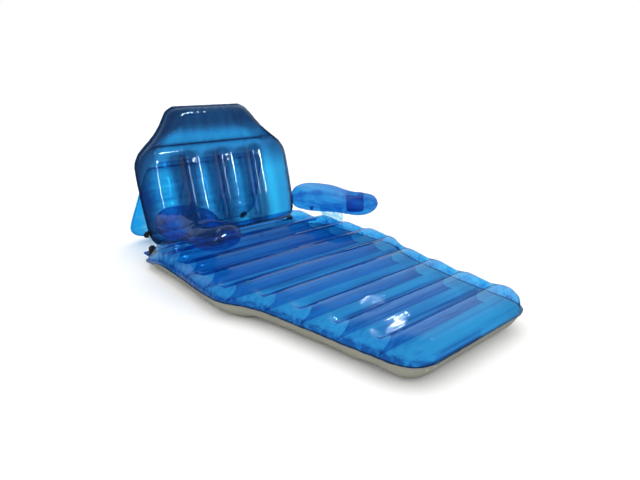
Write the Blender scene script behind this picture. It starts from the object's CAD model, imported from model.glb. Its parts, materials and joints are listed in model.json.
"""Visual model of an inflatable lounge float: clear blue film over a grey underside.

Every inflated chamber is a closed bag of thin film with its welded rim, its inner webs and the
puckers that a welded seam pulls into the sheet.  Metres, +Z up, +Y towards the head.
"""

import json
import math

import bmesh
import bpy
from mathutils import Matrix, Vector, noise


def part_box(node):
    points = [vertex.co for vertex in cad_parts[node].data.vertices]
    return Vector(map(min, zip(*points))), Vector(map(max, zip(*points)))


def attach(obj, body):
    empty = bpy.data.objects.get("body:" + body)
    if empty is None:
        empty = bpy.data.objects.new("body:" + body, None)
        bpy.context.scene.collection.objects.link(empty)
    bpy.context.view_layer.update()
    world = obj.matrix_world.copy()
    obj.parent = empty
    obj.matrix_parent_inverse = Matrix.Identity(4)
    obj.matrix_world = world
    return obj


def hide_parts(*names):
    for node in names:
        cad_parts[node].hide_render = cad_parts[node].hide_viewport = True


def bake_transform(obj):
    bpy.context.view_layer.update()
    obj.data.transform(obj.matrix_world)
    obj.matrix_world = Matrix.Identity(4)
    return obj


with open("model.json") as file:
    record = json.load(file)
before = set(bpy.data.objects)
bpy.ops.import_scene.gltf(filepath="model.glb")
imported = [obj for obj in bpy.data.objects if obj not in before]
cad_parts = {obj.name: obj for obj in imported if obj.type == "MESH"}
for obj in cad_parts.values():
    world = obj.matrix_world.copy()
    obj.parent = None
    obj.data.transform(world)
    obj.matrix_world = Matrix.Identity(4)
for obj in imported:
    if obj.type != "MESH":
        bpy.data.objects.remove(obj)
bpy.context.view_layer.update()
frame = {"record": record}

# ---------------------------------------------------------------- dimensions shared with the CAD
FILM = 0.0006                 # thickness of the vinyl film
GAP = 0.0003
LIFT = GAP / 2 + FILM         # from a chamber's seam plane to the outside of its film
FLANGE = 0.009                # width of the welded rim
PUCKER_HEIGHT = 0.0038
PUCKER_REACH = 0.024          # how far in from the seam the puckers die out
CREASE_HEIGHT = 0.0008        # the fan of creases where an inner web ends
CREASE_REACH = 0.075

FOOT_Y = -0.868               # distances along the mat are counted from the foot seam
MAT_LENGTH = 1.360
MAT_RIBS = 8
RIB_PITCH = 0.150
FIRST_RIB = 0.152
SEAM_Z = 0.064
MAT_CROWN = 0.066
MAT_GROOVE = 0.025
MAT_EDGE = 0.072
RIB_END = 0.090
MAT_WIDTHS = [                # distance from the foot seam, half width
    (0.000, 0.215), (0.012, 0.255), (0.035, 0.282), (0.075, 0.297), (0.130, 0.305),
    (0.250, 0.322), (0.330, 0.333), (0.430, 0.350), (0.530, 0.366), (0.610, 0.388),
    (0.650, 0.406), (0.700, 0.434), (0.760, 0.449), (0.840, 0.450), (1.000, 0.444),
    (1.200, 0.440), (1.300, 0.439), (1.345, 0.434), (1.360, 0.412),
]

BACKREST_LEAN = math.radians(14.5)
BACKREST_RIBS = (-0.176, 0.0, 0.176)
BACKREST_RIB_SPAN = (0.055, 0.372)
PILLOW_LINE = 0.438
PILLOW_RIB_HALF = 0.285
BACKREST_CROWN = 0.062
BACKREST_GROOVE = 0.036
BACKREST_FRONT = 1.10         # the front tubes stand a little fuller than the back ones
PILLOW_GROOVE = 0.020
BACKREST_EDGE = 0.075
BACKREST_WIDTHS = [           # distance up from the hinge line, half width
    (0.016, 0.350), (0.026, 0.370), (0.060, 0.386), (0.130, 0.391), (0.230, 0.394),
    (0.320, 0.394), (0.370, 0.388), (0.403, 0.370), (0.438, 0.334), (0.472, 0.294),
    (0.512, 0.256), (0.552, 0.228), (0.585, 0.204), (0.602, 0.170),
]

BACKREST_HINGE_HALF = 0.330
STRUT_HINGE_HALF = 0.260
STRUT_ALONG = 0.360
STRUT_BEHIND = 0.075
STRUT_LEAN = math.radians(27.5)
STRUT_CROWN = 0.024
STRUT_EDGE = 0.045
STRUT_RIBS = (-0.12, 0.12)
STRUT_RIB_SPAN = (0.070, 0.350)
STRUT_GROOVE = 0.015
STRUT_WIDTHS = [              # distance down from the hinge, half width
    (0.012, 0.300), (0.030, 0.312), (0.120, 0.326), (0.220, 0.340), (0.300, 0.351),
    (0.350, 0.355), (0.385, 0.343), (0.408, 0.318), (0.424, 0.270),
]

ARM_X = 0.350
ARM_REAR_Y = 1.265
ARM_LENGTH = 0.472
ARM_Z = 0.249
ARM_DROP = math.radians(3.7)
ARM_CROWN = 0.052
ARM_EDGE = 0.055
ARM_ROUND = 0.092             # the film curves over this far in from the seam
ARM_FLANGE = 0.0025
ARM_SHAPE = [                 # distance from the front tip, half width, shift outwards
    (0.000, 0.042, 0.010), (0.010, 0.060, 0.010), (0.030, 0.076, 0.010), (0.060, 0.086, 0.010),
    (0.092, 0.088, 0.009), (0.126, 0.085, 0.007), (0.162, 0.084, 0.005), (0.205, 0.089, 0.001),
    (0.255, 0.100, -0.004), (0.315, 0.109, -0.007), (0.372, 0.108, -0.007),
    (0.418, 0.094, -0.005), (0.453, 0.070, -0.002), (0.472, 0.042, 0.000),
]
FIN_SPAN = (0.200, 0.415)
FIN_CUT = 0.045               # how far the fin's front edge is cut back towards its foot
FIN_X = 0.055                 # where the fin leaves the armrest, outwards from its middle

CUP_ALONG = 0.092
CUP_RADIUS = 0.0380
CUP_LIP = 0.0465
CUP_DEPTH = 0.074
CUP_RISE = 0.042
CUP_FLOOR = 0.0346            # how far the cup's floor pushes the lower film down

TAB_X = 0.385
TAB_WIDTH = 0.060
TAB_LENGTH = 0.078
TAB_DROP = 0.026
LOCK_ALONG = 0.034            # the lock's axis, from the start of its tab
CORD_HEIGHT = 0.0085
CORD_DIAMETER = 0.0044
KNOT_RADIUS = 0.0056
LOCK_BASE = 0.025
LOCK_TOWER = 0.0145
LOCK_HEIGHT = 0.028
LOCK_BORE = 0.0112
LOCK_FLOOR = 0.0145
BUTTON_LOW = 0.0215
BUTTON_TOP = 0.0350
ANCHOR_X = 0.280
ANCHOR_ALONG = 0.395
ANCHOR_DISC = 0.024

VALVE_FLANGE = 0.014
VALVE_STEM = 0.0072
VALVE_BORE = 0.0050
VALVE_HEIGHT = 0.0110
PLUG_CAP = 0.0068
PLUG_SHAFT = 0.0046

# ---------------------------------------------------------------- places
SIDES = (("left", -1), ("right", 1))
MAT_PLACE = Matrix.Translation((0.0, FOOT_Y, SEAM_Z))
HINGE_POINT = Vector((0.0, 0.509, 0.067))
BACKREST_PLACE = (Matrix.Translation(HINGE_POINT)
                  @ Matrix.Rotation(math.pi / 2 - BACKREST_LEAN, 4, "X"))
STRUT_POINT = BACKREST_PLACE @ Vector((0.0, STRUT_ALONG, -STRUT_BEHIND))
STRUT_PLACE = (Matrix.Translation(STRUT_POINT)
               @ Matrix.Rotation(STRUT_LEAN - math.pi / 2, 4, "X"))


def arm_place(hand):
    tip = Matrix.Translation((hand * ARM_X, FOOT_Y + ARM_REAR_Y - ARM_LENGTH, ARM_Z))
    return tip @ Matrix.Rotation(-ARM_DROP, 4, "X")


# ---------------------------------------------------------------- camera
CAMERA_PLACE = Vector((-1.217, -1.555, 0.805))
CAMERA_YAW = math.radians(41.02)      # from +Y towards +X
CAMERA_PITCH = math.radians(18.35)    # downwards
CAMERA_LENS = 28.5


def aim(item, direction):
    item.rotation_euler = direction.to_track_quat("-Z", "Y").to_euler()


def make_camera():
    camera = bpy.data.objects.new("camera", bpy.data.cameras.new("camera"))
    camera.data.lens = CAMERA_LENS
    camera.data.sensor_width = 36.0
    camera.location = CAMERA_PLACE
    flat = math.cos(CAMERA_PITCH)
    aim(camera, Vector((math.sin(CAMERA_YAW) * flat, math.cos(CAMERA_YAW) * flat,
                        -math.sin(CAMERA_PITCH))))
    bpy.context.collection.objects.link(camera)
    bpy.context.scene.camera = camera


# ---------------------------------------------------------------- tables and ramps
def between(table, x, column=1):
    """Monotone cubic interpolation in a table of rows that start with their position."""
    if x <= table[0][0]:
        return table[0][column]
    if x >= table[-1][0]:
        return table[-1][column]
    k = 0
    while x > table[k + 1][0]:
        k += 1

    def slope(i):
        return (table[i + 1][column] - table[i][column]) / (table[i + 1][0] - table[i][0])

    def tangent(i):
        if i == 0:
            return slope(0)
        if i == len(table) - 1:
            return slope(i - 1)
        before = slope(i - 1)
        after = slope(i)
        if before * after <= 0.0:
            return 0.0
        return 2.0 * before * after / (before + after)

    width = table[k + 1][0] - table[k][0]
    part = (x - table[k][0]) / width
    square = part * part
    cube = square * part
    return ((2 * cube - 3 * square + 1) * table[k][column]
            + (cube - 2 * square + part) * width * tangent(k)
            + (3 * square - 2 * cube) * table[k + 1][column]
            + (cube - square) * width * tangent(k + 1))


def dome(distance, reach):
    """0 on the seam, rising as a quarter circle to 1 at reach."""
    part = min(max(distance / reach, 0.0), 1.0)
    return math.sqrt(1.0 - (1.0 - part) ** 2)


def puff(distance, reach):
    """Like dome, but fuller: the section of a tightly blown tube."""
    part = 1.0 - min(max(distance / reach, 0.0), 1.0)
    return (1.0 - part ** 2.5) ** 0.4


def ramp(value, low, high):
    part = min(max((value - low) / (high - low), 0.0), 1.0)
    return part * part * (3.0 - 2.0 * part)


def band(reach, steps):
    """Distances in from a seam, closest together where the film turns over."""
    return [reach * (1.0 - math.cos(0.5 * math.pi * k / steps)) for k in range(steps + 1)]


def spread(low, high, steps):
    return [low + (high - low) * k / steps for k in range(steps + 1)]


# ---------------------------------------------------------------- puckers and creases
def pucker(x, y, side, end, seed):
    """Ripples that run square to the welded seam and die out a few centimetres from it."""
    along_side = noise.noise(Vector((x * 5.0, y * 62.0, seed)))
    along_side += 0.6 * noise.noise(Vector((x * 9.0, y * 130.0, seed + 7.0)))
    along_end = noise.noise(Vector((x * 62.0, y * 5.0, seed + 3.0)))
    along_end += 0.6 * noise.noise(Vector((x * 130.0, y * 9.0, seed + 9.0)))
    near_side = math.exp(-side / PUCKER_REACH) * ramp(side, 0.0, 0.006)
    near_end = math.exp(-end / PUCKER_REACH) * ramp(end, 0.0, 0.006)
    return PUCKER_HEIGHT * (along_side * near_side + along_end * near_end)


def star_crease(x, y, seed):
    """The fan of small creases round the point where an inner web ends."""
    reach = math.hypot(x, y)
    if reach > CREASE_REACH:
        return 0.0
    turn = math.atan2(y, x)
    wave = math.cos(7.0 * turn + 2.2 * noise.noise(Vector((seed, reach * 30.0, 0.0))))
    fade = ramp(reach, 0.002, 0.012) * (1.0 - ramp(reach, 0.016, 0.070))
    return CREASE_HEIGHT * wave * fade


# ---------------------------------------------------------------- film heights
def from_seams(widths, x, y, half):
    """How far a point lies in from its chamber's side seam, and from the nearer end seam."""
    return half - abs(x), min(y - widths[0][0], widths[-1][0] - y)


def mat_rise(x, y, half, section):
    """Half thickness of the mat off its seam plane, with the grooves over the inner webs."""
    side, end = from_seams(MAT_WIDTHS, x, y, half)
    phase = (y - FIRST_RIB) / RIB_PITCH
    last = MAT_RIBS - 1
    if phase < 0.0:
        phase = max(phase, -0.5)
    elif phase > last:
        phase = min(phase, last + 0.5)
    part = phase - math.floor(phase)
    bulge = 1.0 - (2.0 * part - 1.0) ** 2
    fade = ramp(side, 0.004, 0.050)
    dip = (MAT_CROWN - MAT_GROOVE) * (1.0 - bulge) * fade
    return (MAT_CROWN - dip) * section(side, MAT_EDGE) * section(end, MAT_EDGE)


def mat_pucker(x, y, half, elsewhere, at_corner, seed):
    """The mat's puckers, strongest at the two foot corners."""
    corner = ramp(abs(x), 0.16, 0.24) * (1.0 - ramp(y, 0.07, 0.16))
    ripple = pucker(x, y, *from_seams(MAT_WIDTHS, x, y, half), seed)
    return (elsewhere + at_corner * corner) * ripple


def mat_top(x, y, half):
    rise = mat_rise(x, y, half, puff) + mat_pucker(x, y, half, 0.06, 0.94, 1.0)
    nearest = round((y - FIRST_RIB) / RIB_PITCH)
    nearest = min(max(nearest, 0), MAT_RIBS - 1)
    rib_y = FIRST_RIB + nearest * RIB_PITCH
    outward = abs(x) - (between(MAT_WIDTHS, rib_y) - RIB_END)
    rise += star_crease(outward, y - rib_y, nearest + (0.5 if x > 0 else 0.0))
    return max(0.0, rise)


def mat_under(x, y, half):
    rise = mat_rise(x, y, half, dome) + mat_pucker(x, y, half, 0.15, 0.75, 21.0)
    return min(max(0.0, rise), SEAM_Z - FILM - GAP / 2)


def backrest_rise(x, y, half):
    side, end = from_seams(BACKREST_WIDTHS, x, y, half)
    rim = dome(side, BACKREST_EDGE) * dome(end, BACKREST_EDGE)
    spacing = BACKREST_RIBS[1] - BACKREST_RIBS[0]
    nearest = min(BACKREST_RIBS, key=lambda rib: abs(x - rib))
    valley = (1.0 - min(abs(x - nearest) / (spacing / 2.0), 1.0)) ** 2
    low, high = BACKREST_RIB_SPAN
    along_web = ramp(y, BACKREST_WIDTHS[0][0], low) * (1.0 - ramp(y, high, 0.412))
    dip = (BACKREST_CROWN - BACKREST_GROOVE) * valley * along_web
    crease = max(0.0, 1.0 - abs(y - PILLOW_LINE) / 0.060) ** 2
    crease *= ramp(side, 0.015, 0.075)
    dip = max(dip, (BACKREST_CROWN - PILLOW_GROOVE) * crease)
    rise = (BACKREST_CROWN - dip) * rim + pucker(x, y, side, end, 41.0)
    rise += star_crease(x - nearest, y - high - 0.012, nearest)
    return max(0.0, rise)


def backrest_front_rise(x, y, half):
    return BACKREST_FRONT * backrest_rise(x, y, half)


def strut_rise(x, y, half):
    side, end = from_seams(STRUT_WIDTHS, x, y, half)
    rim = dome(side, STRUT_EDGE) * dome(end, STRUT_EDGE)
    nearest = min(abs(x - rib) for rib in STRUT_RIBS)
    valley = max(0.0, 1.0 - nearest / 0.07) ** 2
    inside = ramp(y, 0.030, STRUT_RIB_SPAN[0]) * (1.0 - ramp(y, STRUT_RIB_SPAN[1], 0.395))
    rise = (STRUT_CROWN - (STRUT_CROWN - STRUT_GROOVE) * valley * inside) * rim
    return max(0.0, rise + 0.6 * pucker(x, y, side, end, 61.0))


def arm_rise(x, y, half):
    """x is outwards from the armrest's own middle line, y from the front tip."""
    side, end = from_seams(ARM_SHAPE, x - between(ARM_SHAPE, y, 2), y, half)
    rim = puff(side, ARM_ROUND) * puff(end, ARM_EDGE)
    taper = 0.88 + 0.14 * ramp(y, 0.10, 0.34)
    return max(0.0, ARM_CROWN * taper * rim + 0.7 * pucker(x, y, side, end, 81.0))


def cup_distance(x, y):
    return math.hypot(x - between(ARM_SHAPE, CUP_ALONG, 2), y - CUP_ALONG)


def arm_top(x, y, half):
    """The film is drawn in flat under the cup holder's lip."""
    lip = 1.0 - ramp(cup_distance(x, y), CUP_LIP, CUP_LIP + 0.016)
    rise = arm_rise(x, y, half) * (1.0 + 0.16 * ramp(y, 0.14, 0.30))
    return rise + (CUP_RISE - 0.0022 - rise) * lip


def arm_under(x, y, half):
    """The cup's floor pushes the lower film down a little."""
    from_cup = cup_distance(x, y)
    pressed = 1.0 - ramp(from_cup, CUP_RADIUS - 0.004, CUP_RADIUS + 0.014)
    rise = arm_rise(x, y, half) * (0.70 + 0.30 * dome(from_cup - CUP_RADIUS, 0.030))
    return rise + max(0.0, CUP_FLOOR - rise) * pressed


# ---------------------------------------------------------------- mesh helpers
def put(name, mesh, materials, body=None, place=None, smooth=True):
    """An object for a mesh, moved to its place and riding on a body where one is given."""
    for material in materials:
        mesh.materials.append(material)
    if smooth:
        mesh.shade_smooth()
    item = bpy.data.objects.new(name, mesh)
    if place is not None:
        mesh.transform(place)
    bpy.context.collection.objects.link(item)
    if body is not None:
        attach(item, body)
    return item


def mesh_from(name, points, faces, marks=None):
    mesh = bpy.data.meshes.new(name)
    mesh.from_pydata([tuple(p) for p in points], [], faces)
    if marks is not None:
        for face, mark in zip(mesh.polygons, marks):
            face.material_index = mark
    return mesh


def stations(low, high, marks, step):
    """Positions strictly between low and high, about step apart, with every mark among them."""
    stops = [low] + [mark for mark in marks if low < mark < high] + [high]
    result = []
    for start, end in zip(stops, stops[1:]):
        result += spread(start, end, max(1, round((end - start) / step)))[:-1]
    return result[1:]


class Chart:
    """The seam plane of a chamber as a grid that follows its outline.

    row_marks and column_marks are the places of the inner webs, which get their own grid lines.
    hand is -1 for a chamber mirrored in x.
    """

    def __init__(self, widths, edge, row_step, column_steps, row_marks=(), column_marks=(),
                 turns=11, hand=1):
        self.hand = hand
        low = widths[0][0]
        high = widths[-1][0]
        ends = band(min(edge, 0.45 * (high - low)), turns)
        self.rows = [low + d for d in ends]
        self.rows += stations(low + ends[-1], high - ends[-1], row_marks, row_step)
        self.rows += [high - d for d in reversed(ends)]
        self.columns = []
        shaped = len(widths[0]) > 2
        for y in self.rows:
            half = between(widths, y) + 0.0012 * noise.noise(Vector((y * 30.0, edge * 50.0, 2.0)))
            shift = between(widths, y, 2) if shaped else 0.0
            sides = band(min(edge, 0.8 * half), turns)
            inner = half - sides[-1]
            reach = max((abs(mark) for mark in column_marks), default=1.0)
            shrink = min(1.0, 0.8 * inner / reach)
            stops = [-inner] + [mark * shrink for mark in column_marks] + [inner]
            offsets = [-half + d for d in sides]
            for start, end in zip(stops, stops[1:]):
                offsets += spread(start, end, column_steps)[1:]
            offsets += [half - d for d in reversed(sides)][1:]
            self.columns.append([(hand * (shift + x), half) for x in offsets])

    def points(self, rise, sign, lift):
        """Grid rows of points on one side of the seam plane."""
        grid = []
        last = len(self.rows) - 1
        for r, (y, line) in enumerate(zip(self.rows, self.columns)):
            row = []
            edge = len(line) - 1
            for c, (x, half) in enumerate(line):
                on_seam = r in (0, last) or c in (0, edge)
                height = 0.0 if on_seam else rise(self.hand * x, y, half)
                row.append(Vector((x, y, sign * (lift + height))))
            grid.append(row)
        return grid


def grid_faces(start, rows, columns, flip):
    faces = []
    for r in range(rows - 1):
        for c in range(columns - 1):
            a = start + r * columns + c
            face = [a, a + 1, a + columns + 1, a + columns]
            faces.append(face[::-1] if flip else face)
    return faces


def grid_mesh(name, rows):
    faces = grid_faces(0, len(rows), len(rows[0]), False)
    return mesh_from(name, [p for row in rows for p in row], faces)


def border(rows, columns):
    """Indices round a grid, counter-clockwise seen from above when x and y both increase."""
    loop = list(range(columns))
    loop += [r * columns + columns - 1 for r in range(1, rows - 1)]
    loop += [(rows - 1) * columns + c for c in range(columns - 1, -1, -1)]
    loop += [r * columns for r in range(rows - 2, 0, -1)]
    return loop


def rim_points(points, loop, width, seed):
    """The welded rim's outer edge, trimmed a little unevenly and rippled like the seam."""
    rim = []
    count = len(loop)
    for k, index in enumerate(loop):
        here = points[index]
        ahead = points[loop[(k + 2) % count]] - here
        behind = here - points[loop[k - 2]]
        along = ahead.normalized() + behind.normalized()
        out = Vector((along.y, -along.x, 0.0)).normalized()
        wave = noise.noise(Vector((here.x * 70.0, here.y * 70.0, seed)))
        ripple = noise.noise(Vector((here.x * 45.0, here.y * 45.0, seed + 5.0)))
        spot = here + out * (width + 0.0010 * wave)
        spot.z = 0.0016 * ripple
        rim.append(spot)
    return rim


def tube(points, radius, sides):
    """A round tube along a path, closed at both ends."""
    rings = []
    normal = None
    for k, point in enumerate(points):
        along = (points[min(k + 1, len(points) - 1)] - points[max(k - 1, 0)]).normalized()
        if normal is None:
            normal = along.orthogonal().normalized()
        normal = (normal - along * normal.dot(along)).normalized()
        across = along.cross(normal)
        rings.append([point + radius * (math.cos(t) * normal + math.sin(t) * across)
                      for t in (2.0 * math.pi * s / sides for s in range(sides))])
    verts = [v for ring in rings for v in ring]
    faces = [list(range(sides))[::-1], [len(verts) - sides + s for s in range(sides)]]
    for r in range(len(rings) - 1):
        for s in range(sides):
            n = (s + 1) % sides
            a = r * sides
            faces.append([a + s, a + n, a + sides + n, a + sides + s])
    return verts, faces


def lathe(profile, steps):
    """A closed solid turned about Z from (radius, height) pairs that run round it."""
    verts = []
    rings = []
    for radius, height in profile:
        first = len(verts)
        count = 1 if radius == 0.0 else steps
        for k in range(count):
            turn = 2.0 * math.pi * k / steps
            verts.append(Vector((radius * math.cos(turn), radius * math.sin(turn), height)))
        rings.append([first + k % count for k in range(steps)])
    faces = []
    for low, high in zip(rings, rings[1:] + rings[:1]):
        for k in range(steps):
            n = (k + 1) % steps
            corners = []
            for corner in (low[k], low[n], high[n], high[k]):
                if corner not in corners:
                    corners.append(corner)
            if len(corners) > 2:
                faces.append(corners)
    return verts, faces


def rounded(profile, radius, steps=4):
    """The same closed profile with every corner off the axis rounded."""
    smooth = []
    count = len(profile)
    for k, (r, z) in enumerate(profile):
        if r == 0.0:
            smooth.append((r, z))
            continue
        here = Vector((r, z))
        before = Vector(profile[k - 1]) - here
        after = Vector(profile[(k + 1) % count]) - here
        size = min(radius, 0.45 * before.length, 0.45 * after.length)
        start = here + before.normalized() * size
        end = here + after.normalized() * size
        for step in range(steps + 1):
            t = step / steps
            spot = start.lerp(here, t).lerp(here.lerp(end, t), t)
            smooth.append((spot.x, spot.y))
    return smooth


def joined(parts):
    """Several (points, faces) as one."""
    verts = []
    faces = []
    for some_verts, some_faces in parts:
        start = len(verts)
        verts += some_verts
        faces += [[start + i for i in face] for face in some_faces]
    return verts, faces


def outward(mesh):
    """The same mesh with its faces turned outwards."""
    shape = bmesh.new()
    shape.from_mesh(mesh)
    bmesh.ops.recalc_face_normals(shape, faces=shape.faces)
    shape.to_mesh(mesh)
    shape.free()
    return mesh


def solid_piece(name, shape, material, body, place, node, crease=None):
    """A closed moulded piece from (points, faces); edges sharper than crease degrees stay sharp."""
    mesh = outward(mesh_from(name, *shape))
    item = put(name, mesh, [material], body, place)
    if crease is not None:
        mesh.set_sharp_from_angle(angle=math.radians(crease))
    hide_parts(node)


def set_depth(item, rule):
    """Store how deep the film's tint is at every point, 0 to 1, from its place in the part."""
    values = [min(max(rule(v.co), 0.0), 1.0) for v in item.data.vertices]
    layer = item.data.attributes.new("film_depth", "FLOAT", "POINT")
    layer.data.foreach_set("value", values)


def film_piece(name, mesh, material, rule, place, body, slot, *nodes):
    """A piece of film.  rule gives its tint depth from a point in the chamber's own plane."""
    item = put(name, mesh, [material])
    set_depth(item, rule)
    mesh.transform(place)
    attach(item, body)
    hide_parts(*nodes)
    return item


# ---------------------------------------------------------------- materials
def new_material(name):
    material = bpy.data.materials.new(name)
    material.use_nodes = True
    tree = material.node_tree
    tree.nodes.clear()
    return material, tree


def add(tree, kind, inputs=None, **settings):
    """A node.  Each input gets its value, or a link where that is another node's output."""
    node = tree.nodes.new(kind)
    for key, value in settings.items():
        setattr(node, key, value)
    for key, value in (inputs or {}).items():
        if isinstance(value, bpy.types.NodeSocket):
            tree.links.new(value, node.inputs[key])
        else:
            node.inputs[key].default_value = value
    return node


def surface(tree, shader):
    add(tree, "ShaderNodeOutputMaterial", {"Surface": shader.outputs[0]})


def noise_of(tree, scale, stretch=(1.0, 1.0, 1.0), detail=3.0):
    """Noise in the piece's own metres, stretched along an axis where its number is small."""
    place = add(tree, "ShaderNodeTexCoord").outputs["Object"]
    mapping = add(tree, "ShaderNodeMapping", {"Vector": place, "Scale": stretch})
    inputs = {"Vector": mapping.outputs["Vector"], "Scale": scale, "Detail": detail}
    return add(tree, "ShaderNodeTexNoise", inputs).outputs["Fac"]


def curve_of(tree, value, low, high, start=0.0, end=1.0):
    """value mapped from low..high to start..end, clamped."""
    inputs = {"Value": value, "From Min": low, "From Max": high, "To Min": start, "To Max": end}
    return add(tree, "ShaderNodeMapRange", inputs).outputs["Result"]


def math_of(tree, operation, first, second):
    return add(tree, "ShaderNodeMath", {0: first, 1: second}, operation=operation).outputs["Value"]


def mix_colour(tree, factor, first, second):
    """A mix of two colours, each a tuple or another node's output."""
    first, second = ((*c, 1.0) if isinstance(c, tuple) else c for c in (first, second))
    inputs = {0: factor, 6: first, 7: second}
    return add(tree, "ShaderNodeMix", inputs, data_type="RGBA").outputs[2]


def bump_of(tree, heights):
    """Bumps chained one on the other: (value, distance, strength)."""
    normal = None
    for value, distance, strength in heights:
        inputs = {"Height": value, "Distance": distance, "Strength": strength}
        if normal is not None:
            inputs["Normal"] = normal
        normal = add(tree, "ShaderNodeBump", inputs).outputs["Normal"]
    return normal


MILK = (0.10, 0.33, 0.62, 1.0)        # what the film's haze scatters
GLOSS_TINT = (0.62, 0.83, 1.0, 1.0)
TINT_SLANT = 5.0                      # how suddenly the tint deepens where the film turns away
GLOSS_SLANT = 3.5
INNER_GLOSS = 0.25                    # how much of its gloss the film keeps on its inner face


def film_material(name, clear, middle, deep, haze, roughness=0.03, streak=(0.8, 20.0, 20.0),
                  shine=0.055, uneven=1.0, slant_depth=0.9, graze=0.45):
    """Clear tinted vinyl: light passes through it tinted, and its faces are glossy.

    clear, middle and deep are the tints of thin, ordinary and doubled film; the mesh's film_depth
    attribute, 0 to 1, says which.  haze is the share of milky scatter in the sheet, shine what it
    mirrors when looked at squarely and graze what it mirrors beside that when seen edge-on, uneven
    how strongly the tint is streaked, slant_depth how much it deepens where it is seen edge-on.
    """
    material, tree = new_material(name)
    depth = add(tree, "ShaderNodeAttribute", attribute_name="film_depth").outputs["Fac"]
    streaks = curve_of(tree, noise_of(tree, 2.2, streak, 4.0), 0.34, 0.68, -0.30 * uneven,
                       0.48 * uneven)
    slant = add(tree, "ShaderNodeLayerWeight", {"Blend": 0.5}).outputs["Facing"]
    slanted = math_of(tree, "POWER", slant, TINT_SLANT)
    factor = math_of(tree, "ADD", math_of(tree, "ADD", depth, streaks),
                     math_of(tree, "MULTIPLY", slanted, slant_depth))
    lower = mix_colour(tree, curve_of(tree, factor, 0.0, 0.5), clear, middle)
    tint = mix_colour(tree, curve_of(tree, factor, 0.5, 1.0), lower, deep)
    drawn = noise_of(tree, 1.6, streak, 2.0)
    waves = noise_of(tree, 26.0, detail=2.0)
    peel = noise_of(tree, 420.0, detail=1.0)
    normal = bump_of(tree, [(drawn, 0.0060, 0.45), (waves, 0.0030, 0.20), (peel, 0.0003, 0.05)])
    through = add(tree, "ShaderNodeBsdfTransparent", {"Color": tint})
    milk = add(tree, "ShaderNodeBsdfDiffuse", {"Color": MILK, "Normal": normal})
    body = add(tree, "ShaderNodeMixShader", {0: haze, 1: through.outputs[0], 2: milk.outputs[0]})
    gloss = add(tree, "ShaderNodeBsdfGlossy",
                {"Color": GLOSS_TINT, "Roughness": roughness, "Normal": normal})
    weight = add(tree, "ShaderNodeLayerWeight", {"Blend": 0.5, "Normal": normal})
    grazing = math_of(tree, "POWER", weight.outputs["Facing"], GLOSS_SLANT)
    mirror = math_of(tree, "ADD", math_of(tree, "MULTIPLY", grazing, graze), shine)
    inside = add(tree, "ShaderNodeNewGeometry").outputs["Backfacing"]
    mirror = math_of(tree, "MULTIPLY", mirror,
                     curve_of(tree, inside, 0.0, 1.0, 1.0, INNER_GLOSS))
    surface(tree, add(tree, "ShaderNodeMixShader",
                      {0: mirror, 1: body.outputs[0], 2: gloss.outputs[0]}))
    return material


def solid_material(name, colour, second, scale, roughness, bumps, metallic=0.0):
    """An opaque material whose colour drifts between two close shades, with its own fine bump.

    bumps is a list of (noise scale, distance, strength).
    """
    material, tree = new_material(name)
    drift = curve_of(tree, noise_of(tree, scale), 0.35, 0.65)
    rough = curve_of(tree, noise_of(tree, scale * 3.0), 0.3, 0.7, roughness - 0.05,
                     roughness + 0.07)
    heights = [(noise_of(tree, size, detail=2.0), distance, strength)
               for size, distance, strength in bumps]
    surface(tree, add(tree, "ShaderNodeBsdfPrincipled",
                      {"Base Color": mix_colour(tree, drift, colour, second), "Roughness": rough,
                       "Metallic": metallic, "Normal": bump_of(tree, heights)}))
    return material


def braid_material(name):
    """White elastic cord: a fine crossed braid round the strand."""
    material, tree = new_material(name)
    place = add(tree, "ShaderNodeTexCoord").outputs["Object"]
    strands = []
    for slope in (1.0, -1.0):
        mapping = add(tree, "ShaderNodeMapping",
                      {"Vector": place, "Rotation": (slope * 0.8, 0.0, slope * 0.7)})
        wave = add(tree, "ShaderNodeTexWave", {"Vector": mapping.outputs["Vector"],
                                               "Scale": 230.0, "Distortion": 0.6})
        strands.append(wave.outputs["Fac"])
    weave = math_of(tree, "MAXIMUM", *strands)
    colour = mix_colour(tree, weave, (0.30, 0.30, 0.29), (0.70, 0.70, 0.68))
    surface(tree, add(tree, "ShaderNodeBsdfPrincipled",
                      {"Base Color": colour, "Roughness": 0.75, "Sheen Weight": 0.25,
                       "Normal": bump_of(tree, [(weave, 0.0006, 0.8)])}))
    return material


CROSSWISE = (0.8, 30.0, 30.0)         # streaks drawn out along the mat's tubes
MAT_FILM = film_material("mat_film_blue", (0.20, 0.67, 0.93), (0.14, 0.50, 0.82),
                         (0.04, 0.20, 0.50), 0.02, streak=CROSSWISE, shine=0.07, graze=0.62)
REST_FILM = film_material("backrest_film_blue", (0.17, 0.70, 0.93), (0.13, 0.43, 0.68),
                          (0.07, 0.16, 0.30), 0.02, streak=(14.0, 3.0, 0.6), uneven=0.18)
STRUT_FILM = film_material("prop_film_blue", (0.74, 0.91, 0.97), (0.32, 0.63, 0.82),
                           (0.09, 0.56, 0.86), 0.02, slant_depth=0.25)
ARM_FILM = film_material("armrest_film_blue", (0.16, 0.56, 0.84), (0.13, 0.45, 0.78),
                         (0.06, 0.26, 0.64), 0.05, streak=(12.0, 1.2, 12.0), graze=0.25)
RIB_FILM = film_material("inner_web_blue", (0.26, 0.51, 0.79), (0.17, 0.34, 0.58),
                         (0.08, 0.14, 0.32), 0.0, 0.20, streak=CROSSWISE, shine=0.0)
BACK_WEB_FILM = film_material("backrest_web_blue", (0.60, 0.80, 0.93), (0.44, 0.64, 0.80),
                              (0.30, 0.48, 0.66), 0.0, 0.20, shine=0.0, slant_depth=0.2, graze=0.1)
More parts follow.
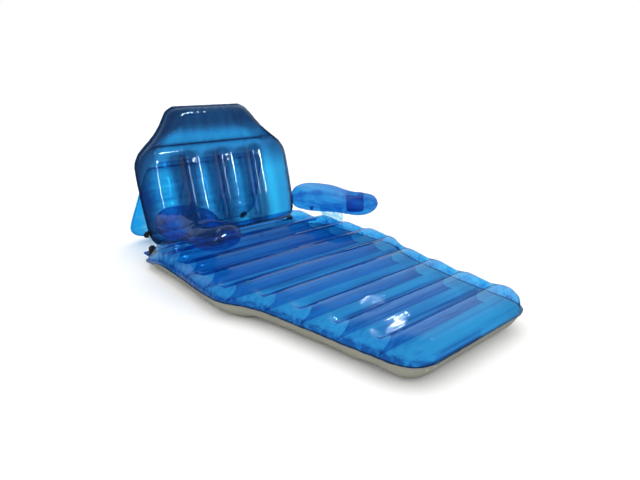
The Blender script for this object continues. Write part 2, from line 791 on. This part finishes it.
CUP_FILM = film_material("cup_film_blue", (0.72, 0.89, 0.98), (0.52, 0.73, 0.93),
                         (0.28, 0.50, 0.80), 0.06)
GREY_FILM = solid_material("underside_grey_vinyl", (0.260, 0.260, 0.216), (0.292, 0.290, 0.242),
                           9.0, 0.40, [(30.0, 0.003, 0.25), (900.0, 0.0003, 0.25)])
LINER = solid_material("underside_inner_face", (0.66, 0.72, 0.75), (0.74, 0.78, 0.80), 6.0, 0.45,
                       [(40.0, 0.002, 0.2)])
VALVE_PLASTIC = solid_material("valve_frosted_vinyl", (0.14, 0.42, 0.66), (0.20, 0.50, 0.72), 80.0,
                               0.30, [(600.0, 0.0002, 0.3)])
BLACK_PLASTIC = solid_material("moulded_black_plastic", (0.010, 0.010, 0.011),
                               (0.020, 0.019, 0.018), 60.0, 0.34, [(700.0, 0.0003, 0.5)])
STEEL_WIRE = solid_material("spring_steel_wire", (0.42, 0.42, 0.43), (0.56, 0.56, 0.57), 200.0,
                            0.28, [(1500.0, 0.0001, 0.3)], metallic=1.0)
WHITE_CORD = braid_material("white_braided_elastic")


# ---------------------------------------------------------------- chambers
def bag(name, chart, rises, seed, place, body, material, rule, nodes, hole=None,
        flange=FLANGE):
    """A closed bag of single film: upper sheet, welded rim and lower sheet in one skin.

    rises are the height functions of its two faces; hole is (centre, radius) of an opening.
    """
    rows = len(chart.rows)
    columns = len(chart.columns[0])
    size = rows * columns
    points = [p for rise, sign in zip(rises, (1, -1)) for row in chart.points(rise, sign, LIFT)
              for p in row]
    loop = border(rows, columns)
    flip = chart.hand < 0
    faces = grid_faces(0, rows, columns, flip)
    if hole is not None:
        centre, radius = hole
        for spot in points[:size]:
            flat = Vector((spot.x - centre.x, spot.y - centre.y, 0.0))
            if abs(flat.length - radius) < 0.0022:
                flat *= radius / flat.length
                spot.x = centre.x + flat.x
                spot.y = centre.y + flat.y

        def outside(face):
            middle = sum((points[i] for i in face), Vector()) / len(face)
            return math.hypot(middle.x - centre.x, middle.y - centre.y) > radius - 0.0004

        faces = [face for face in faces if outside(face)]
    faces += grid_faces(size, rows, columns, not flip)
    if flip:
        loop = loop[::-1]
    first = len(points)
    points += rim_points(points, loop, flange, seed)
    for k, here in enumerate(loop):
        n = (k + 1) % len(loop)
        faces.append([here, first + k, first + n, loop[n]])
        faces.append([here + size, loop[n] + size, first + n, first + k])
    used = sorted({i for face in faces for i in face})
    renumber = {old: new for new, old in enumerate(used)}
    mesh = mesh_from(name, [points[i] for i in used],
                     [[renumber[i] for i in face] for face in faces])
    film = film_piece(name, mesh, material, rule, place, body, "blue_film", *nodes)


def web(name, rows, place, body, node, material=RIB_FILM, slot="rib_film", deep=0.0):
    """An inner web: a grid of points from one sheet to the other, all of one tint."""
    film_piece(name, grid_mesh(name, rows), material, lambda co: deep, place, body, slot, node)


def web_rows(start, end, steps, low, high, levels, spot, sway):
    """Rows of a web along one line: low and high give its edges, spot places it, sway bows it."""
    rows = []
    for t in spread(start, end, steps):
        bow = sway * noise.noise(Vector((t * 14.0, start, 0.3)))
        rows.append([spot(t, low(t) + (high(t) - low(t)) * part, bow * math.sin(math.pi * part))
                     for part in spread(0.0, 1.0, levels)])
    return rows


def upright_webs(name, nodes, ribs, widths, rise, front, span, counts, sway, place, body):
    """The webs of a chamber with upright tubes; its front stands front times as full."""
    steps, levels = counts
    for number, x in enumerate(ribs):
        def reach(y):
            return rise(x, y, between(widths, y)) - GAP

        rows = web_rows(*span, steps, lambda y: -reach(y), lambda y: front * reach(y), levels,
                        lambda y, z, bow: Vector((x + bow, y, z)), sway)
        web(f"{name}_{number + 1}", rows, place, body, f"{nodes}_{number + 1}", BACK_WEB_FILM)


# ---------------------------------------------------------------- mat
WEB_TOE = 0.060               # the webs reach this much further out along the underside
WEB_SWAY = 0.006
CORNER_DROOP = 0.030          # the seam hangs this much lower at the two rear corners
FOOT_LIFT = 0.007             # and is pulled up a little at the foot
MAT_RIB_Y = [FIRST_RIB + k * RIB_PITCH for k in range(MAT_RIBS)]


def droop(point):
    """The soft rear corners hang towards the floor, away from the backrest that holds the middle."""
    share = ramp(abs(point.x), 0.35, 0.44) * ramp(point.y, 1.14, 1.36)
    lift = FOOT_LIFT * (1.0 - ramp(point.y, 0.0, 0.30))
    height = point.z * (1.0 - 0.55 * share) - CORNER_DROOP * share + lift
    point.z = max(height, FILM - SEAM_Z)
    return point


def mat_depth(co):
    side, end = from_seams(MAT_WIDTHS, co.x, co.y, between(MAT_WIDTHS, co.y))
    rim = (0.5 if co.x > 0.0 else 1.0) * (1.0 - ramp(min(side, end), -0.001, 0.004))
    near = min(abs(co.y - rib) for rib in MAT_RIB_Y)
    groove = math.exp(-(near / 0.008) ** 2) * ramp(side, 0.05, RIB_END + 0.01)
    valley = math.exp(-(near / 0.030) ** 2) * ramp(side, 0.02, RIB_END + 0.01)
    return max(rim, 0.50 * groove + 0.42 * valley)


def build_mat():
    chart = Chart(MAT_WIDTHS, MAT_EDGE, row_step=0.0075, column_steps=34, row_marks=MAT_RIB_Y)
    rows = len(chart.rows)
    columns = len(chart.columns[0])
    count = rows * columns
    upper = [p for row in chart.points(mat_top, 1, LIFT) for p in row]
    loop = border(rows, columns)
    rim = rim_points(upper, loop, FLANGE, 5.0)
    for point in rim:
        point.z += LIFT * 0.6
    for point in upper + rim:
        droop(point)
    faces = grid_faces(0, rows, columns, False)
    edge = range(len(loop))
    turn = [(k + 1) % len(loop) for k in edge]
    faces += [[loop[k], count + k, count + turn[k], loop[turn[k]]] for k in edge]
    film = film_piece("mat_top_film", mesh_from("mat_top_film", upper + rim, faces), MAT_FILM,
                      mat_depth, MAT_PLACE, "mat", "blue_film", "mat_top_sheet")

    # the underside is a sheet of real thickness, grey outside and pale within
    outer = [droop(p) for row in chart.points(mat_under, -1, LIFT) for p in row]
    points = outer + [Vector((p.x, p.y, p.z + FILM)) for p in outer]
    points += [Vector((p.x, p.y, p.z - 2.0 * LIFT)) for p in rim]
    points += [Vector((p.x, p.y, p.z - 1.2 * LIFT)) for p in rim]
    outside = grid_faces(0, rows, columns, True)
    inside = grid_faces(count, rows, columns, False)
    low = 2 * count
    high = low + len(loop)
    rims = []
    for k in edge:
        n = turn[k]
        rims.append([loop[n], low + n, low + k, loop[k]])
        rims.append([loop[k] + count, high + k, high + n, loop[n] + count])
        rims.append([low + k, low + n, high + n, high + k])
    marks = [0] * len(outside) + [1] * len(inside) + [0] * len(rims)
    mesh = mesh_from("mat_underside", points, outside + inside + rims, marks)
    under = put("mat_underside", mesh, [GREY_FILM, LINER], "mat", MAT_PLACE)
    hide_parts("mat_bottom_sheet")

    for number, y in enumerate(MAT_RIB_Y):
        half = between(MAT_WIDTHS, y)
        reach = half - RIB_END
        rows_of_web = []
        for across in spread(-1.0, 1.0, 64):
            row = []
            for part in spread(0.0, 1.0, 10):
                x = across * (reach + WEB_TOE * (1.0 - part) ** 2.5)
                low = GAP - mat_under(x, y, half)
                high = mat_top(x, y, half) - GAP
                bow = WEB_SWAY * math.sin(math.pi * part) * noise.noise(Vector((x * 14.0, y, 0.3)))
                row.append(droop(Vector((x, y + bow, low + (high - low) * part))))
            rows_of_web.append(row)
        web(f"mat_inner_web_{number + 1}", rows_of_web, MAT_PLACE, "mat", f"mat_rib_{number + 1}")


# ---------------------------------------------------------------- backrest
def backrest_depth(co):
    side, end = from_seams(BACKREST_WIDTHS, co.x, co.y, between(BACKREST_WIDTHS, co.y))
    rim = 1.0 - ramp(min(side, end), -0.001, 0.003)
    border_shade = (0.95 if co.x < 0.0 else 0.45) * (1.0 - ramp(side, 0.005, 0.085))
    high = 0.42 * ramp(co.y, 0.26, 0.40) if co.y < PILLOW_LINE else 0.38
    high += 0.50 * ramp(co.y, PILLOW_LINE + 0.035, PILLOW_LINE + 0.090)
    near = min(abs(co.x - rib) for rib in BACKREST_RIBS)
    valley = 1.3 * math.exp(-(near / 0.040) ** 2) * (1.0 - ramp(co.y, 0.37, 0.42))
    crease = 0.55 * math.exp(-((co.y - PILLOW_LINE) / 0.006) ** 2)
    return max(rim, border_shade + high + crease, high + valley)


def build_backrest():
    chart = Chart(BACKREST_WIDTHS, BACKREST_EDGE, row_step=0.0065, column_steps=14,
                  row_marks=(PILLOW_LINE,), column_marks=BACKREST_RIBS)
    bag("backrest_film", chart, (backrest_front_rise, backrest_rise), 11.0, BACKREST_PLACE,
        "backrest", REST_FILM, backrest_depth, ("backrest_front_sheet", "backrest_back_sheet"))
    upright_webs("backrest_inner_web", "backrest_rib", BACKREST_RIBS, BACKREST_WIDTHS,
                 backrest_rise, BACKREST_FRONT, BACKREST_RIB_SPAN, (40, 8), 0.005,
                 BACKREST_PLACE, "backrest")
    half = between(BACKREST_WIDTHS, PILLOW_LINE)

    def reach(x):
        return max(0.002, backrest_rise(x, PILLOW_LINE, half) - GAP)

    rows = web_rows(-PILLOW_RIB_HALF, PILLOW_RIB_HALF, 48, lambda x: -reach(x), reach, 6,
                    lambda x, z, bow: Vector((x, PILLOW_LINE + bow, z)), 0.004)
    web("pillow_inner_web", rows, BACKREST_PLACE, "backrest", "pillow_rib", deep=0.3)


# ---------------------------------------------------------------- prop panel
def strut_depth(co):
    side, end = from_seams(STRUT_WIDTHS, co.x, co.y, between(STRUT_WIDTHS, co.y))
    rim = 0.05 * (1.0 - ramp(min(side, end), -0.001, 0.003))
    thick = (1.0 - ramp(co.x, -0.34, -0.22)) * ramp(co.y, 0.05, 0.20)
    return max(rim, thick, 0.25 * ramp(co.x, 0.26, 0.33))


def build_strut():
    chart = Chart(STRUT_WIDTHS, STRUT_EDGE, row_step=0.0075, column_steps=16,
                  column_marks=STRUT_RIBS)
    bag("prop_panel_film", chart, (strut_rise, strut_rise), 13.0, STRUT_PLACE, "strut",
        STRUT_FILM, strut_depth, ("strut_front_sheet", "strut_back_sheet"))
    upright_webs("prop_inner_web", "strut_rib", STRUT_RIBS, STRUT_WIDTHS, strut_rise, 1.0,
                 STRUT_RIB_SPAN, (36, 5), 0.003, STRUT_PLACE, "strut")


# ---------------------------------------------------------------- hinge strips
def hinge_strip(name, first, second, half, bulge, replaced):
    """A strip of film welded to two rims, soft enough to turn at the joint between them."""
    rows = []
    for part in spread(0.0, 1.0, 8):
        point = first.lerp(second, part) + bulge * math.sin(math.pi * part)
        line = []
        for x in spread(-half, half, 60):
            ripple = 0.0007 * noise.noise(Vector((x * 60.0, part * 2.0, half)))
            line.append(Vector((x, point.y + ripple, point.z + ripple)))
        rows.append(line)
    strip = put(name, grid_mesh(name, rows), [STRUT_FILM])
    set_depth(strip, lambda co: 0.3)
    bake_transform(strip)
    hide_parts(replaced)


def build_hinges():
    mat_edge = MAT_PLACE @ Vector((0.0, MAT_LENGTH + FLANGE - 0.002, -0.001))
    rest_edge = BACKREST_PLACE @ Vector((0.0, BACKREST_WIDTHS[0][0] - FLANGE + 0.002, 0.001))
    hinge_strip("backrest_hinge_film", mat_edge, rest_edge, BACKREST_HINGE_HALF,
                Vector((0.0, 0.0, -0.002)), "backrest_hinge_strip")
    upper = BACKREST_PLACE @ Vector((0.0, STRUT_ALONG + 0.016, 0.014 - STRUT_BEHIND))
    lower = STRUT_PLACE @ Vector((0.0, STRUT_WIDTHS[0][0] - FLANGE + 0.002, 0.001))
    hinge_strip("prop_hinge_film", upper, lower, STRUT_HINGE_HALF, Vector((0.0, 0.0, 0.002)),
                "strut_hinge_strip")


# ---------------------------------------------------------------- armrests
def build_armrest(side_name, hand):
    place = arm_place(hand)
    body = f"armrest_{side_name}"
    chart = Chart(ARM_SHAPE, ARM_EDGE, row_step=0.0045, column_steps=20, turns=12, hand=hand)
    cup_x = hand * between(ARM_SHAPE, CUP_ALONG, 2)

    def depth(co):
        off_middle = hand * co.x - between(ARM_SHAPE, co.y, 2)
        side, end = from_seams(ARM_SHAPE, off_middle, co.y, between(ARM_SHAPE, co.y))
        rim = 1.0 - ramp(min(side, end), -0.001, 0.003)
        return max(rim, 0.35 * (1.0 - ramp(side, 0.004, 0.040)))

    bag(f"{body}_film", chart, (arm_top, arm_under), 17.0 + hand, place, body, ARM_FILM, depth,
        (f"{body}_top_sheet", f"{body}_bottom_sheet"),
        hole=(Vector((cup_x, CUP_ALONG)), CUP_RADIUS + 0.0012), flange=ARM_FLANGE)

    low = CUP_RISE - CUP_DEPTH
    wall = 0.0010
    outer = CUP_RADIUS + wall
    profile = [
        (0.0, low - wall), (0.0, low + 0.0004), (0.016, low + 0.0004), (0.018, low + 0.0014),
        (0.021, low + 0.0014), (0.023, low), (CUP_RADIUS - 0.0005, low), (CUP_RADIUS, low + 0.030),
        (CUP_RADIUS + 0.0004, low + 0.033), (CUP_RADIUS, low + 0.036),
        (CUP_RADIUS, CUP_RISE + 0.0006), (CUP_LIP, CUP_RISE + 0.0014),
        (CUP_LIP, CUP_RISE - 0.0004), (outer, CUP_RISE - 0.0010), (outer, low + 0.002),
        (outer - 0.003, low - wall)]
    mesh = outward(mesh_from(f"cup_{side_name}", *lathe(rounded(profile, 0.0030), 72)))
    film_piece(f"cup_well_{side_name}", mesh, CUP_FILM,
               lambda co: 0.75 if co.z > CUP_RISE - 0.003 or co.z < low + 0.002 else 0.25,
               place @ Matrix.Translation((cup_x, CUP_ALONG, 0.0)), body, "blue_film",
               f"cup_holder_{side_name}")

    rows = []
    for share in spread(0.0, 1.0, 28):
        along = FIN_SPAN[0] + FIN_CUT + (FIN_SPAN[1] - FIN_SPAN[0] - FIN_CUT) * share
        under = arm_under(FIN_X, along, between(ARM_SHAPE, along))
        top = place @ Vector((hand * FIN_X, along, 0.0005 - LIFT - under))
        seam = between(MAT_WIDTHS, top.y - FOOT_Y) + FLANGE - 0.001
        foot = Vector((hand * seam, top.y, SEAM_Z + 0.0012))
        row = []
        for part in spread(0.0, 1.0, 14):
            point = top.lerp(foot, part)
            point.x += hand * 0.012 * math.sin(math.pi * part)
            point.y += FIN_CUT * (1.0 - share) * (part ** 0.5 - 0.5)
            point.x += 0.003 * noise.noise(Vector((along * 30.0, part * 4.0, hand)))
            row.append(point)
        rows.append(row)
    web(f"{body}_fin_film", rows, Matrix.Identity(4), body, f"{body}_fin", STRUT_FILM, "blue_film",
        0.35)


# ---------------------------------------------------------------- valves
def turned_to(normal):
    return Vector((0, 0, 1)).rotation_difference(normal).to_matrix().to_4x4()


def valve(name, centre, normal, body):
    """A push-in valve: its welded foot and stem, and the cap with a pull tab."""
    place = Matrix.Translation(centre) @ turned_to(normal)
    seat = [(VALVE_BORE, 0.0), (VALVE_FLANGE, 0.0), (VALVE_FLANGE, 0.0009), (0.0110, 0.0012),
            (VALVE_STEM + 0.0004, 0.0022), (VALVE_STEM, 0.0040), (VALVE_STEM, VALVE_HEIGHT),
            (VALVE_BORE, VALVE_HEIGHT)]
    solid_piece(f"{name}_seat", lathe(rounded(seat, 0.0005, 3), 48), VALVE_PLASTIC, body, place,
                f"{name}_body")
    cap_low = VALVE_HEIGHT + GAP
    cap = [(0.0, 0.0040), (PLUG_SHAFT, 0.0040), (PLUG_SHAFT, cap_low), (PLUG_CAP, cap_low),
           (PLUG_CAP, cap_low + 0.0016), (PLUG_CAP - 0.0012, cap_low + 0.0024),
           (0.0, cap_low + 0.0024)]
    tab = tube([Vector((PLUG_CAP - 0.001 + 0.0011 * k, 0.0, cap_low + 0.0010)) for k in range(5)],
               0.0011, 10)
    solid_piece(f"{name}_cap", joined([lathe(rounded(cap, 0.0004, 3), 48), tab]), VALVE_PLASTIC,
                f"{name}_plug", place, f"{name}_plug")


def build_valves():
    axes = {joint["name"]: Vector(joint["axis"]) for joint in frame["record"]["behaviour"]["joints"]
            if joint["name"].endswith("_plug_pull")}
    for body in ("mat", "backrest", "strut", "armrest_left", "armrest_right"):
        name = f"{body}_valve"
        normal = axes[f"{name}_plug_pull"].normalized()
        low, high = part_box(f"{name}_body")
        middle = (Vector(low) + Vector(high)) / 2.0
        valve(name, middle - normal * (VALVE_HEIGHT / 2.0), normal, body)


# ---------------------------------------------------------------- cords, locks and anchors
TAB_START = MAT_LENGTH + FLANGE + 0.0008
TAB_ROUND = 0.020
CORD_SAG = 0.010


def cord_places(hand):
    """The lock's base point, and the anchor's place on the prop panel."""
    base = Vector((hand * TAB_X, FOOT_Y + TAB_START + LOCK_ALONG, SEAM_Z - TAB_DROP + 0.0006))
    half = between(STRUT_WIDTHS, ANCHOR_ALONG)
    rise = strut_rise(ANCHOR_X, ANCHOR_ALONG, half) + LIFT + 0.0028
    seat = STRUT_PLACE @ Vector((hand * ANCHOR_X, ANCHOR_ALONG, -rise))
    normal = STRUT_PLACE.to_3x3() @ Vector((0.0, 0.0, -1.0))
    return base, Matrix.Translation(seat) @ turned_to(normal)


def cord_path(hand):
    """From its knot, through the lock, and on to the anchor with a slight sag."""
    base, anchor = cord_places(hand)
    start = base + Vector((0.0, 0.0, CORD_HEIGHT))
    far = anchor @ Vector((0.0, 0.0, 0.0096))
    heading = far - start
    back = Vector((-heading.x, -heading.y, 0.0)).normalized()
    route = [start + back * (LOCK_BASE + 0.0005)]
    run = start - back * (LOCK_BASE + 0.001)
    for part in spread(0.0, 1.0, 30):
        point = run.lerp(far, part)
        point.z -= CORD_SAG * math.sin(math.pi * part)
        route.append(point)
    return route, back


def build_cord(side_name, hand):
    name = f"cord_{side_name}"
    route, back = cord_path(hand)
    verts, faces = tube(route, CORD_DIAMETER / 2.0, 14)
    cord = put(f"{name}_elastic", mesh_from("cord", verts, faces), [WHITE_CORD])
    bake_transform(cord)
    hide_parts(name)
    knot_centre = route[0] + back * (KNOT_RADIUS + GAP)
    loop = []
    for turn in spread(0.0, 2.0 * math.pi, 48):
        loop.append(knot_centre + 0.0011 * Vector((
            math.sin(turn) + 2.0 * math.sin(2.0 * turn), -math.sin(3.0 * turn) * 1.4,
            math.cos(turn) - 2.0 * math.cos(2.0 * turn))))
    verts, faces = tube(loop, 0.0015, 12)
    knot = put(f"{name}_end_knot", mesh_from("knot", verts, faces), [WHITE_CORD], "mat")
    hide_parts(f"{name}_knot")


def spokes(count, first, start, step, steps, radius):
    """Ribs moulded round a turned part, each from start and on by step, turned from first."""
    parts = []
    for k in range(count):
        turn = 2.0 * math.pi * (k + first) / count
        ray = Vector((math.cos(turn), math.sin(turn), 0.0))
        parts.append(tube([ray * (start[0] + step[0] * n) + Vector((0, 0, start[1] + step[1] * n))
                           for n in steps], radius, 8))
    return parts


def build_lock(side_name, hand):
    base, anchor = cord_places(hand)
    place = Matrix.Translation(base)
    name = f"cord_lock_{side_name}"
    waist = LOCK_TOWER + 0.0006
    lip = LOCK_TOWER + 0.0008
    case = [(0.0, 0.0), (LOCK_BASE, 0.0), (LOCK_BASE, 0.0018), (0.0222, 0.0030), (0.0182, 0.0036),
            (0.0166, 0.0048), (waist, 0.0058), (waist, 0.0140), (LOCK_TOWER, 0.0150),
            (LOCK_TOWER, LOCK_HEIGHT - 0.003), (lip, LOCK_HEIGHT - 0.0022), (lip, LOCK_HEIGHT),
            (LOCK_BORE, LOCK_HEIGHT), (LOCK_BORE, LOCK_FLOOR), (0.0, LOCK_FLOOR)]
    ribs = spokes(12, 0.5, (LOCK_TOWER + 0.0003, 0.0), (0.0, 1.0), (0.0062, 0.012, 0.018, 0.0245),
                  0.0011)
    solid_piece(f"{name}_case", joined([lathe(rounded(case, 0.0007, 3), 56)] + ribs),
                BLACK_PLASTIC, "mat", place, f"{name}_body", 40)
    radius = LOCK_BORE - 0.0004
    button = [(0.0, BUTTON_LOW), (radius, BUTTON_LOW), (radius, BUTTON_TOP - 0.0030),
              (radius - 0.0012, BUTTON_TOP - 0.0008), (radius - 0.0034, BUTTON_TOP),
              (radius - 0.0040, BUTTON_TOP - 0.0010), (0.0, BUTTON_TOP - 0.0016)]
    solid_piece(f"{name}_press_button", lathe(rounded(button, 0.0006, 3), 48), BLACK_PLASTIC,
                f"{name}_button", place, f"{name}_button", 40)
    disc = [(0.0, 0.0), (ANCHOR_DISC, 0.0), (ANCHOR_DISC, 0.0014), (0.0224, 0.0022),
            (0.0190, 0.0024), (0.0180, 0.0032), (0.0086, 0.0036), (0.0075, 0.0042),
            (0.0075, 0.0082), (0.0060, 0.0095), (0.0, 0.0095)]
    ribs = spokes(8, 0.0, (0.0, 0.0033), (1.0, 0.0), (0.0080, 0.0125, 0.0175), 0.0007)
    solid_piece(f"strut_anchor_{side_name}_button",
                joined([lathe(rounded(disc, 0.0006, 3), 56)] + ribs), BLACK_PLASTIC, "strut",
                anchor, f"strut_anchor_{side_name}", 40)
    build_tab(side_name, hand)


def build_tab(side_name, hand):
    """The welded corner tab: rounded film with a raised weld bead round its edge."""
    half = TAB_WIDTH / 2
    outline = [Vector((-half, TAB_START - 0.004)), Vector((half, TAB_START - 0.004))]
    top = TAB_START + TAB_LENGTH - TAB_ROUND
    for centre_x, start in ((half - TAB_ROUND, 0.0), (TAB_ROUND - half, 0.5 * math.pi)):
        for k in range(13):
            turn = start + 0.5 * math.pi * k / 12
            outline.append(Vector((centre_x + TAB_ROUND * math.cos(turn),
                                   top + TAB_ROUND * math.sin(turn))))
    middle = Vector((0.0, TAB_START + TAB_LENGTH * 0.5))
    rings = ((1.0, -0.0012), (1.0, 0.0), (0.95, 0.0004), (0.88, 0.0), (0.5, 0.0))
    verts = [Vector((*middle.lerp(p, share), z)) for share, z in rings for p in outline]
    count = len(outline)
    faces = []
    for r in range(len(rings) - 1):
        for k in range(count):
            n = (k + 1) % count
            faces.append([r * count + k, r * count + n, (r + 1) * count + n, (r + 1) * count + k])
    faces.append([(len(rings) - 1) * count + k for k in range(count)])
    faces.append(list(range(count))[::-1])
    tab = film_piece(f"corner_tab_{side_name}_film", outward(mesh_from("tab", verts, faces)),
                     ARM_FILM, lambda co: 1.0,
                     Matrix.Translation((hand * TAB_X, FOOT_Y, SEAM_Z - TAB_DROP)), "mat",
                     "blue_film", f"corner_tab_{side_name}")
    tab.data.set_sharp_from_angle(angle=math.radians(35))


# ---------------------------------------------------------------- studio
BACKDROP_GLOW = 0.62
ROOM_GLOW = 0.12
SKY_GLOW = 0.93
FLOOR_SIZE = 40.0
FLOOR_STEPS = 96
FOOT_SPARK = (-0.27, -0.67, 0.10)
LAMPS = [                     # place, target, width, height, power, spread in degrees
    ("strip_front", (-0.20, -1.85, 1.25), (0.0, 0.6, 0.45), 0.05, 0.9, 0.9, 44.0),
    ("spark_foot_1", (1.11, -1.46, 1.26), FOOT_SPARK, 0.30, 0.015, 0.0080, 8.0),
    ("spark_foot_2", (1.14, -1.15, 1.38), FOOT_SPARK, 0.30, 0.015, 0.0080, 8.0),
    ("spark_foot_3", (1.12, -0.86, 1.50), FOOT_SPARK, 0.30, 0.015, 0.0080, 8.0),
    ("spark_arm", (0.52, -1.77, 1.34), (-0.38, -0.07, 0.27), 0.26, 0.03, 0.035, 12.0),
    ("spark_rest_1", (0.22, -1.32, 1.16), (-0.32, 0.54, 0.46), 0.20, 0.03, 0.0030, 8.0),
    ("spark_rest_2", (-0.84, -1.29, 1.12), (-0.17, 0.55, 0.46), 0.20, 0.03, 0.0030, 8.0),
    ("spark_rest_3", (-0.53, -1.34, 1.08), (0.02, 0.54, 0.44), 0.20, 0.03, 0.0030, 8.0),
    ("spark_rest_4", (-0.12, -1.38, 1.07), (0.20, 0.54, 0.43), 0.20, 0.03, 0.0030, 8.0),
    ("softbox_top", (0.40, 0.15, 2.3), (-0.10, 0.50, 0.42), 0.9, 0.06, 0.85, 26.0),
]


def lamp(name, kind, place, direction, **settings):
    light = bpy.data.lights.new(name, kind)
    for key, value in settings.items():
        setattr(light, key, value)
    item = bpy.data.objects.new(name, light)
    item.location = place
    aim(item, direction)
    bpy.context.collection.objects.link(item)
    return item


def build_studio():
    """A white floor, one broad lamp that lights it all, and small ones only seen as highlights."""
    material, tree = new_material("studio_floor_white")
    surface(tree, add(tree, "ShaderNodeBsdfDiffuse", {"Color": (0.93, 0.93, 0.93, 1.0)}))
    turns = [2.0 * math.pi * k / FLOOR_STEPS for k in range(FLOOR_STEPS)]
    points = [(FLOOR_SIZE * math.cos(t), FLOOR_SIZE * math.sin(t), -0.0005) for t in turns]
    floor = put("studio_floor", mesh_from("studio_floor", points, [list(range(FLOOR_STEPS))]),
                [material], smooth=False)
    floor.visible_glossy = False
    build_world()
    soft = lamp("soft_top", "SUN", (0.0, 0.0, 0.0), Vector((0.20, 0.15, -0.95)), energy=1.30,
                angle=math.radians(130.0))
    soft.visible_glossy = False
    for name, place, target, width, height, power, angle in LAMPS:
        item = lamp(name, "AREA", place, Vector(target) - Vector(place), shape="RECTANGLE",
                    size=width, size_y=height, energy=power, spread=math.radians(angle))
        item.visible_diffuse = False
        item.visible_camera = False


def build_world():
    """A white backdrop behind the float in an otherwise dim room."""
    world = bpy.data.worlds.new("studio")
    world.use_nodes = True
    tree = world.node_tree
    place = add(tree, "ShaderNodeTexCoord").outputs["Generated"]
    x, y, z = add(tree, "ShaderNodeSeparateXYZ", {"Vector": place}).outputs
    facing = math_of(tree, "ADD", math_of(tree, "MULTIPLY", x, math.sin(CAMERA_YAW)),
                     math_of(tree, "MULTIPLY", y, math.cos(CAMERA_YAW)))
    upright = math_of(tree, "MULTIPLY", curve_of(tree, z, 0.55, 0.97, 1.0, 0.0),
                      curve_of(tree, z, -0.20, 0.05))
    sweep = math_of(tree, "MULTIPLY", curve_of(tree, facing, 0.10, 0.45), upright)
    room = math_of(tree, "ADD", math_of(tree, "MULTIPLY", sweep, BACKDROP_GLOW), ROOM_GLOW)
    rays = add(tree, "ShaderNodeLightPath").outputs
    seen = math_of(tree, "MAXIMUM", rays["Is Camera Ray"],
                   math_of(tree, "MULTIPLY", rays["Is Diffuse Ray"], SKY_GLOW))
    background = tree.nodes["Background"]
    background.inputs["Color"].default_value = (1.0, 1.0, 1.0, 1.0)
    tree.links.new(math_of(tree, "MAXIMUM", seen, room), background.inputs["Strength"])
    bpy.context.scene.world = world
    bpy.context.scene.view_settings.view_transform = "Standard"


make_camera()
for side, sign in SIDES:
    build_cord(side, sign)
build_mat()
build_backrest()
build_strut()
build_hinges()
for side, sign in SIDES:
    build_armrest(side, sign)
    build_lock(side, sign)
build_valves()
for side, sign in SIDES:
    for slot in bpy.data.objects[f"cord_lock_{side}_spring"].material_slots:
        slot.material = STEEL_WIRE
build_studio()
